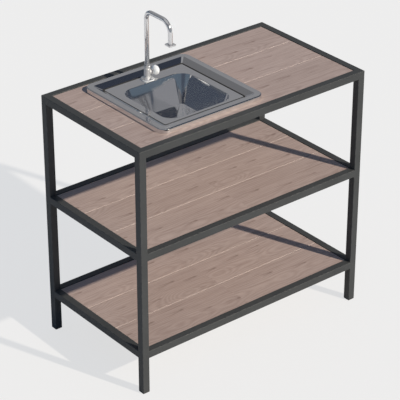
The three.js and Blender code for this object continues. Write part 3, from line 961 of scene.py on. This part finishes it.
def sink_ring(half_x, half_y, radius, z, centre_y=0):
    outline = rounded_rectangle(half_x, half_y, radius, SINK_CORNER_STEPS, SINK_SIDE_STEPS)
    return [(SINK_X + x, centre_y + y, z) for x, y in outline]


def bowl_section():
    """The bowl's section from the floor up, as (inset from the mouth, height) points."""
    dish = 1.2                  # how much higher the floor is at its walls than at the drain
    floor_z = BOWL_FLOOR_Z + dish
    corners = [(BOWL_TAPER + 9, floor_z), (BOWL_TAPER, floor_z), (0, LEDGE_Z), (-6, LEDGE_Z)]
    return soften(corners, [0, 3.5, 2, 0], 8)


def rim_section(lean):
    """The rim's section outwards, as (inset from the outside, height) points."""
    slope_top = RIM_WIDTH
    slope_foot = RIM_WIDTH + SLOPE_RUN
    corners = [
        (slope_foot + 6, LEDGE_Z),
        (slope_foot, LEDGE_Z),
        (slope_top, RIM_TOP),
        (0, RIM_TOP),
        (-lean, LIP_FOOT),
    ]
    return soften(corners, [0, 3, 3, ROLLED_EDGE, 0], 8)


def bowl_ring(inset, z):
    radius = max(BOWL_CORNER - inset, 3)
    return sink_ring(BOWL_HALF_X - inset, BOWL_HALF_Y - inset, radius, z, BOWL_Y)


def rim_ring(inset_x, inset_y, z):
    radius = max(SINK_CORNER - 0.9 * inset_x, 5)
    return sink_ring(SINK_HALF - inset_x, SINK_HALF - inset_y, radius, z)


def floor_rings(outer_ring, drop):
    """Rings across the bowl's floor, from the drain hole to the foot of its walls."""
    centre = Vector((SINK_X, BOWL_Y, 0))
    hole_radius = 27
    flat_radius = 36
    steps = 8
    rings = []
    for radius in (hole_radius, flat_radius):
        ring = []
        for point in outer_ring:
            direction = Vector((point[0] - centre.x, point[1] - centre.y, 0)).normalized()
            place = centre + direction * radius
            ring.append((place.x, place.y, BOWL_FLOOR_Z - drop))
        rings.append(ring)
    for step in range(1, steps):
        share = step / steps
        ring = [Vector(a).lerp(Vector(b), share) for a, b in zip(rings[1], outer_ring)]
        rings.append([tuple(point) for point in ring])
    return rings


def sink_face(distance):
    """The sheet's upper face, or its lower one at a distance from the upper one."""
    bowl = [bowl_ring(inset, z) for inset, z in offset(bowl_section(), distance, False)]
    sides = offset(rim_section(SIDE_LEAN), distance, False)
    fronts = offset(rim_section(FRONT_LEAN), distance, False)
    rim = [rim_ring(side[0], front[0], side[1]) for side, front in zip(sides, fronts)]
    return floor_rings(bowl[0], abs(distance)) + bowl + rim


def rim_strip(section, rounding):
    """A strip that runs all round the sink, from its (inset, height) section."""
    loops = [rim_ring(inset, inset, z) for inset, z in soften(section, rounding, 2, True)]
    return skin(loops, closed=True)


def add_sink():
    """The pressed sheet, with a hole through the ledge for the tap's shank."""
    upper = sink_face(0)
    lower = sink_face(SHEET)
    shape = skin(upper + lower[::-1], closed=True)
    sink = stand_in("sink_bowl", shape, "sink_steel", smooth=40)
    shank_hole_radius = 10
    shank_hole = drill(shank_hole_radius, LEDGE_Z - 11, LEDGE_Z + 9, 48)
    cut(sink, moved(shank_hole, TAP_PLACE))


def add_seal():
    """The foam strip that the rim presses onto the planks, set back under its lip."""
    section = [(2.2, 848.1), (9.4, 848.1), (9.4, 849), (2.2, 849)]
    stand_in("sink_seal", rim_strip(section, 0.25), "seal_rubber")


def add_painted_crease_shade():
    """A thin black bead along the foot of the sloped band: painted shade, a dark strip laid where
    the crease only darkens with shadow.
    """
    half_section = [(-2.6, 0.4), (-2.6, 1.6), (0, 1.1), (2.2, 0.2), (2.2, -0.5), (0, -0.5)]
    foot = RIM_WIDTH + SLOPE_RUN
    section = [(foot + inset, LEDGE_Z + rise) for inset, rise in half_section]
    extra("sink_crease_painted_shade", rim_strip(section, 0.5), "seal_rubber")


# Each clip's side, its quarter turns from the right side, and its shift along its side.
CLIPS = [("right", 0, 0), ("rear", 1, 90), ("left", 2, 0), ("front", 3, 0)]


def add_clips():
    """Pressed Z straps that hook the sink's ledge to the underside of the planks."""
    width = 25
    thickness = 2
    bend_radius = 2.4
    top_z = SHEET_UNDERSIDE - thickness / 2
    slope_foot = SINK_HALF - RIM_WIDTH - SLOPE_RUN
    head_end, upright, foot_end = slope_foot - 8, slope_foot + thickness / 2, slope_foot + 24
    for name, quarter_turns, shift in CLIPS:
        node = f"sink_clip_{name}"
        low, _ = box_mm(node)
        foot_z = low[2] + thickness / 2
        line = [(head_end, top_z), (upright, top_z), (upright, foot_z), (foot_end, foot_z)]
        line = soften(line, bend_radius, 4)
        outline = offset(line, -thickness / 2, False) + offset(line, thickness / 2, False)[::-1]
        vertices, faces = slab(outline, -width / 2, width / 2, 0.35, 2)
        placed = []
        for u, v, w in vertices:
            x, y = u, w + shift
            for _ in range(quarter_turns):
                x, y = -y, x
            placed.append((x + SINK_X, y, v))
        stand_in(node, (placed, faces), "zinc_steel")


# ------------------------ drain

# Heights in this section are measured from the middle of the bowl's floor.


def add_drain_flange():
    """The flange in the bowl's floor and the cup that it leads down to."""
    section = [
        (15, -44), (17, -44), (17, -28), (26, -26), (26, 0.3), (35, 0.3), (34.2, 1.3),
        (31, 1.9), (26.2, 1.7), (24.6, 0.2), (24.6, -2.3), (23, -2.3), (23, -24.5), (15, -27),
    ]
    stand_in("drain_flange", turned_ring(section, 0.6, 64, DRAIN_PLACE), "sink_steel")


def add_strainer():
    """The loose basket with its lifting knob, and two rings of holes in its bottom."""
    section = [
        (0, -21), (17, -21), (20.5, -18), (22, -2), (23.8, -2), (23.8, -0.6), (20.8, -0.6),
        (19.4, -17), (17, -19.4), (3, -19.4), (2.6, -12), (3, 1), (5, 2), (7, 5.6), (6.6, 10),
        (4.4, 13), (0, 14),
    ]
    shape = moved(turned(soften(section, 0.9, 3), 64), DRAIN_PLACE)
    strainer = stand_in("drain_basket", shape, "sink_steel", "strainer")
    hole = drill(1.6, -23, -17, 16)
    holes = []
    for count, ring_radius in ((6, 8), (12, 14)):
        holes += [moved(hole, (x, y, 0)) for x, y in circle(ring_radius, count)]
    cut(strainer, moved(joined(*holes), DRAIN_PLACE))


def add_ring_nut():
    """The ribbed nut that pulls the flange down onto the bowl's floor."""
    ribs = 12
    points_per_rib = 6
    rib_radius, groove_radius, hole_radius = 32.9, 31.4, 26.4
    outline = []
    for i in range(ribs * points_per_rib):
        angle = 2 * math.pi * i / (ribs * points_per_rib)
        radius = groove_radius if i % points_per_rib in (0, 1) else rib_radius
        outline.append((radius * math.cos(angle), radius * math.sin(angle)))
    outer = soften(outline, 0.8, 2, True)
    end = offset(outer, 0.8)
    inner = circle(hole_radius, len(outer))
    bottom, top = -10.5, -1.5
    chamfer = 0.9
    rings = [(inner, bottom), (end, bottom), (outer, bottom + chamfer)]
    rings += [(outer, top - chamfer), (end, top), (inner, top)]
    shape = skin([at_height(ring, z) for ring, z in rings], closed=True)
    stand_in("drain_locknut", moved(shape, DRAIN_PLACE), "waste_plastic")


def add_tailpiece():
    """The collar under the cup, and the tail that a hose is pushed onto."""
    section = [
        (13, -68), (14.2, -68), (15, -66), (15, -60), (14.4, -59.6), (15, -56), (15, -50),
        (20, -49), (20, -33), (19, -32), (17.3, -32), (17.3, -44.3), (13, -44.3),
    ]
    stand_in("drain_tailpiece", turned_ring(section, 0.5, 48, DRAIN_PLACE), "waste_plastic")


# ------------------------ tap


def add_tap_base():
    """The tap's flange on the ledge, with a white gasket ring under it: a painted highlight for
    the bright lower rim of the flange.
    """
    highlight_ring_section = [(12.5, 851.1), (22, 851.1), (22, 853.3), (12.5, 853.3)]
    extra("faucet_base_highlight_gasket", turned_ring(highlight_ring_section, 0.7, 64, TAP_PLACE), "knob_plastic")
    flange = [(12.1, 853.4), (21.2, 853.4), (21.2, 854.3), (19.5, 855.2), (12.1, 857.6)]
    stand_in("faucet_flange", turned_ring(flange, 0.6, 64, TAP_PLACE), "faucet_chrome")


def add_tap_body():
    """The grooved barrel, its threaded shank through the ledge, and the valve's boss."""
    thread_pitch = 1.5
    thread_bottom = 800
    thread_turns = 32
    thread = []
    for turn in range(thread_turns):
        z = thread_bottom + turn * thread_pitch
        thread += [(7.5, z), (8.0, z + thread_pitch / 2)]
    socket_floor = BODY_TOP_Z - 16
    socket = [(0, socket_floor), (6.5, socket_floor), (6.5, BODY_TOP_Z), (10, BODY_TOP_Z)]
    barrel = [
        (10, 891.5), (8.4, 890.5), (8.4, 888), (10.3, 887), (10.3, 864), (8.6, 863), (8.6, 860.6),
        (12, 859), (12, BODY_BASE_Z), (8, BODY_BASE_Z), (8, 848.5),
    ]
    waterway = [(4.5, thread_bottom), (4.5, 840), (0, 840)]
    body = turned(soften(socket + barrel, 0.7, 3) + thread[::-1] + waterway, 64)
    boss = [(0, 5), (5, 5), (7, 6), (7, 12.3), (6.5, 12.8), (3.4, 12.8), (3.4, 8), (0, 8)]
    boss = turned_to(turned(boss, 48), (1, 0, 0), (0, 0, KNOB_Z))
    shape = moved(joined(body, boss), TAP_PLACE)
    stand_in("faucet_body", shape, "satin_chrome")


def hexagon_nut(radius, hole, bottom, top, chamfer=0.8):
    """A six-sided nut with turned-off corners and a round hole."""
    sides = 48
    inner_radius = radius * math.cos(math.pi / 6)
    end_radius = inner_radius - 0.1

    def ring(limit, z):
        points = []
        for i in range(sides):
            angle = 2 * math.pi * i / sides
            within = (angle + math.pi / 6) % (math.pi / 3) - math.pi / 6
            reach = min(inner_radius / math.cos(abs(within) - math.pi / 6), limit)
            points.append((reach * math.cos(angle), reach * math.sin(angle), z))
        return points

    loops = [
        at_height(circle(hole, sides), bottom),
        ring(end_radius, bottom),
        ring(radius, bottom + chamfer),
        ring(radius, top - chamfer),
        ring(end_radius, top),
        at_height(circle(hole, sides), top),
    ]
    return skin(loops, closed=True)


def add_tap_fixings():
    """Washer and lock nut under the ledge, and the barbed water inlet below them."""
    top = SHEET_UNDERSIDE
    washer = [(8.4, top - 2), (15, top - 2), (15, top), (8.4, top)]
    stand_in("faucet_washer", turned_ring(washer, 0.5, 48, TAP_PLACE), "seal_rubber")
    nut_top = top - 2.3
    nut_height = 8
    nut = hexagon_nut(14, 8.4, nut_top - nut_height, nut_top)
    stand_in("faucet_locknut", moved(nut, TAP_PLACE), "zinc_steel", smooth=25)
    inlet = [
        (3.5, 764), (5.0, 764), (6.4, 769), (5.2, 769.5), (6.4, 774.5), (5.2, 775),
        (6.4, 780), (5.2, 780.5), (5.2, 788), (12, 789), (12, 805), (8.4, 805),
        (8.4, 796), (3.5, 796),
    ]
    stand_in("water_inlet", turned_ring(inlet, 0.35, 48, TAP_PLACE, 2), "inlet_brass")


def along_x(shape, x):
    """The shape laid along +X on the valve's axis, starting at x."""
    return turned_to(shape, (1, 0, 0), (x, TAP_Y, KNOB_Z))


def add_valve():
    """Bonnet nut and spindle beside the tap's body."""
    bonnet = along_x(hexagon_nut(8, 3.4, 0, 5.4, 0.7), SINK_X + 13.1)
    stand_in("faucet_bonnet", bonnet, "faucet_chrome", smooth=25)
    section = [(0, 0), (3, 0), (3, 13), (2.7, 13.4), (2.7, 15), (3, 15.4), (3, 25), (0, 25)]
    spindle = along_x(turned(soften(section, 0.3, 2), 32), SINK_X + 6.5)
    stand_in("faucet_spindle", spindle, "zinc_steel", "knob")


def add_knob():
    """A flattened ball with a socket for the spindle."""
    radius, half_thickness = 16, 12
    socket = 3.3
    steps = 28
    start = -math.acos(socket / radius)
    outline = [(0, 1), (socket, 1), (socket, half_thickness * math.sin(start) + 0.8)]
    for step in range(1, steps + 1):
        angle = start + (math.pi / 2 - start) * step / steps
        outline.append((radius * math.cos(angle), half_thickness * math.sin(angle)))
    stand_in("faucet_knob", along_x(turned(outline, 64), KNOB_X), "knob_plastic", "knob")


def neck_line():
    """Points and directions of the neck's centreline, in the plane of its bends."""
    stations = []
    steps = 14

    def bend(centre_y, centre_z, radius, start):
        for step in range(steps + 1):
            angle = start + math.pi / 2 * step / steps
            y = centre_y + radius * math.cos(angle)
            z = centre_z + radius * math.sin(angle)
            stations.append((y, z, -math.sin(angle), math.cos(angle)))

    stations.append((TAP_Y, BODY_TOP_Z - 12, 0, 1))
    bend(TAP_Y - NECK_REAR_BEND, NECK_TOP_Z - NECK_REAR_BEND, NECK_REAR_BEND, 0)
    front_y = SPOUT_Y + NECK_FRONT_BEND
    bend(front_y, NECK_TOP_Z - NECK_FRONT_BEND, NECK_FRONT_BEND, math.pi / 2)
    stations.append((SPOUT_Y, SPOUT_END_Z - 0.2, 0, -1))
    return stations


def add_neck():
    """The bent tube, with a short sleeve where it enters the body."""
    sides = 40
    loops = []
    for y, z, along_y, along_z in neck_line():
        loop = []
        for u, v in circle(NECK_RADIUS, sides):
            loop.append((SINK_X + u, y + v * along_z, z - v * along_y))
        loops.append(loop)
    tube = skin(loops)
    sleeve = [(0, 897.3), (8.6, 897.3), (8.9, 897.8), (8.9, 902), (7.9, 903), (0, 903)]
    sleeve = moved(turned(soften(sleeve, 0.4, 3), 48), TAP_PLACE)
    stand_in("faucet_neck", joined(tube, sleeve), "faucet_chrome", "spout")


def add_outlet():
    """The rounded square plate on the neck's end, with its jets in the underside."""
    low, high = box_mm("faucet_outlet")
    half = (high[0] - low[0]) / 2
    insert_half = half - 3
    insert_drop = 0.6           # how far the insert stands out under the plate
    plate = slab(rounded_rectangle(half, half, 4, 6), low[2] + insert_drop, high[2], 0.8)
    collar = [(0, -1), (10, -1), (9.6, 0.4), (8.2, 2.4), (0, 2.4)]
    collar = [(radius, high[2] + z) for radius, z in collar]
    collar = turned(soften(collar, 0.6, 3), 48)
    insert = rounded_rectangle(insert_half, insert_half, 2.5, 6)
    insert = slab(insert, low[2], low[2] + 2, 0.4)
    place = (SINK_X, SPOUT_Y, 0)
    shape = moved(joined(plate, insert, collar), place)
    outlet = stand_in("faucet_outlet", shape, "faucet_chrome", "spout")
    jet = drill(0.9, -2, 1.6, 12)
    jet_pitch = 3.6
    holes = []
    for column in range(-2, 3):
        for row in range(-2, 3):
            holes.append(moved(jet, (column * jet_pitch, row * jet_pitch, low[2])))
    cut(outlet, moved(joined(*holes), place))


# ------------------------ floor and light

FLOOR_GLOW = 0.685          # what the floor shows of itself, before any light falls on it
FLOOR_TINT = 0.185          # how strongly light and shadow show on it
FLOOR_BOUNCE = 0.72         # how much light it throws back up onto the table
BACKDROP = 0.855            # matches the lit floor, so that no horizon shows


def add_floor():
    """A plain pale floor on which shadows stay faint, as on an overlit studio sweep."""
    half = 9                    # metres
    mesh = bpy.data.meshes.new("floor")
    corners = [(-half, -half, 0), (half, -half, 0), (half, half, 0), (-half, half, 0)]
    mesh.from_pydata(corners, [], [(0, 1, 2, 3)])
    material = bpy.data.materials.new("studio_floor")
    nodes = Nodes(material)
    glow = nodes.add("ShaderNodeEmission", {"Color": grey(1), "Strength": FLOOR_GLOW})
    tint = nodes.add("ShaderNodeBsdfDiffuse", {"Color": grey(FLOOR_TINT)})
    seen = nodes.add("ShaderNodeAddShader", {0: glow.outputs[0], 1: tint.outputs[0]})
    bounce = nodes.add("ShaderNodeBsdfDiffuse", {"Color": grey(FLOOR_BOUNCE)})
    path = nodes.add("ShaderNodeLightPath")
    side = nodes.add("ShaderNodeNewGeometry")
    clear = nodes.add("ShaderNodeBsdfTransparent")
    above = nodes.choose(path.outputs["Is Camera Ray"], bounce.outputs[0], seen.outputs[0])
    surface = nodes.choose(side.outputs["Backfacing"], above, clear.outputs[0])
    nodes.add("ShaderNodeOutputMaterial", {"Surface": surface})
    mesh.materials.append(material)
    put_in_scene("floor", mesh)


SUN_ENERGY = 4.15
SUN_COLOUR = (1.0, 0.9, 0.765)
SUN_TRAVELS = (-0.277, 0.769, -0.576)
SUN_WIDTH = 1.2             # degrees across, which softens the edges of its shadows


def add_sun():
    """The key light: from the right of the front, 35 degrees up, a little warm."""
    data = bpy.data.lights.new("key", "SUN")
    data.energy = SUN_ENERGY
    data.color = SUN_COLOUR
    data.angle = math.radians(SUN_WIDTH)
    aim(put_in_scene("key", data), SUN_TRAVELS)


# Soft panels of the studio that polished metal mirrors. For each one: its direction, how
# nearly a ray points along it where the panel begins and where it is full, and its colour.
PANELS = [
    ((0.52, 0.70, 0.49), 0.90, 0.98, (0.27, 0.27, 0.28, 1)),
    ((-0.1, 0.71, 0.70), 0.88, 0.97, (0.165, 0.165, 0.172, 1)),
    ((-0.72, -0.53, 0.45), 0.90, 0.97, (0.07, 0.085, 0.115, 1)),
    ((-0.33, -0.80, 0.50), 0.962, 0.985, (0.31, 0.31, 0.325, 1)),
    ((-0.68, 0.14, 0.72), 0.93, 0.98, (0.30, 0.30, 0.31, 1)),
    ((-0.1, -0.05, 0.99), 0.80, 0.86, (0.33, 0.33, 0.34, 1)),
    ((-0.47, 0.68, 0.56), 0.965, 0.985, (0.22, 0.215, 0.215, 1)),
]
DARK_STUDIO = (0.035, 0.042, 0.06, 1)
HORIZON_GLOW = (0.11, 0.145, 0.185, 1)
HORIZON_TOP = 0.36          # how high a ray points where the glow has died away
HORIZON_FULL = 0.22         # and where it is at its full strength
AMBIENT = (0.135, 0.2, 0.3, 1)      # the bluish light that fills the shadows


def add_world():
    """A plain backdrop for the camera, soft fill for surfaces, a dim studio for mirrors."""
    world = bpy.data.worlds.new("studio")
    bpy.context.scene.world = world
    nodes = Nodes(world)
    ray = nodes.add("ShaderNodeTexCoord").outputs["Generated"]
    path = nodes.add("ShaderNodeLightPath")

    def background(colour):
        return nodes.add("ShaderNodeBackground", {"Color": colour}).outputs[0]

    def facing(direction, low, high):
        """How nearly a ray points along a direction, from 0 at low to 1 at high."""
        inputs = {0: ray, 1: Vector(direction).normalized()}
        dot = nodes.add("ShaderNodeVectorMath", inputs, operation="DOT_PRODUCT")
        return nodes.span(dot.outputs["Value"], low, high, interpolation_type="SMOOTHSTEP")

    down = (0, 0, -1)
    studio = nodes.mix(facing(down, -HORIZON_TOP, -HORIZON_FULL), DARK_STUDIO, HORIZON_GLOW)
    for direction, low, high, colour in PANELS:
        studio = nodes.mix(facing(direction, low, high), studio, colour)
    is_glossy, is_camera = path.outputs["Is Glossy Ray"], path.outputs["Is Camera Ray"]
    lit = nodes.choose(is_glossy, background(AMBIENT), background(studio))
    shown = nodes.choose(is_camera, lit, background(grey(BACKDROP)))
    nodes.add("ShaderNodeOutputWorld", {"Surface": shown})


# ------------------------ the scene

add_camera()
add_legs()
add_worktop_rails()
add_worktop_welds()
for shelf in SHELF_TOPS:
    add_shelf_rails(shelf)
    add_shelf_welds(shelf)
add_planks()
add_bearers()
add_sink()
add_seal()
add_painted_crease_shade()
add_clips()
add_drain_flange()
add_strainer()
add_ring_nut()
add_tailpiece()
add_tap_base()
add_tap_body()
add_tap_fixings()
add_valve()
add_knob()
add_neck()
add_outlet()
add_floor()
add_sun()
add_world()
bpy.context.scene.view_settings.view_transform = "Standard"
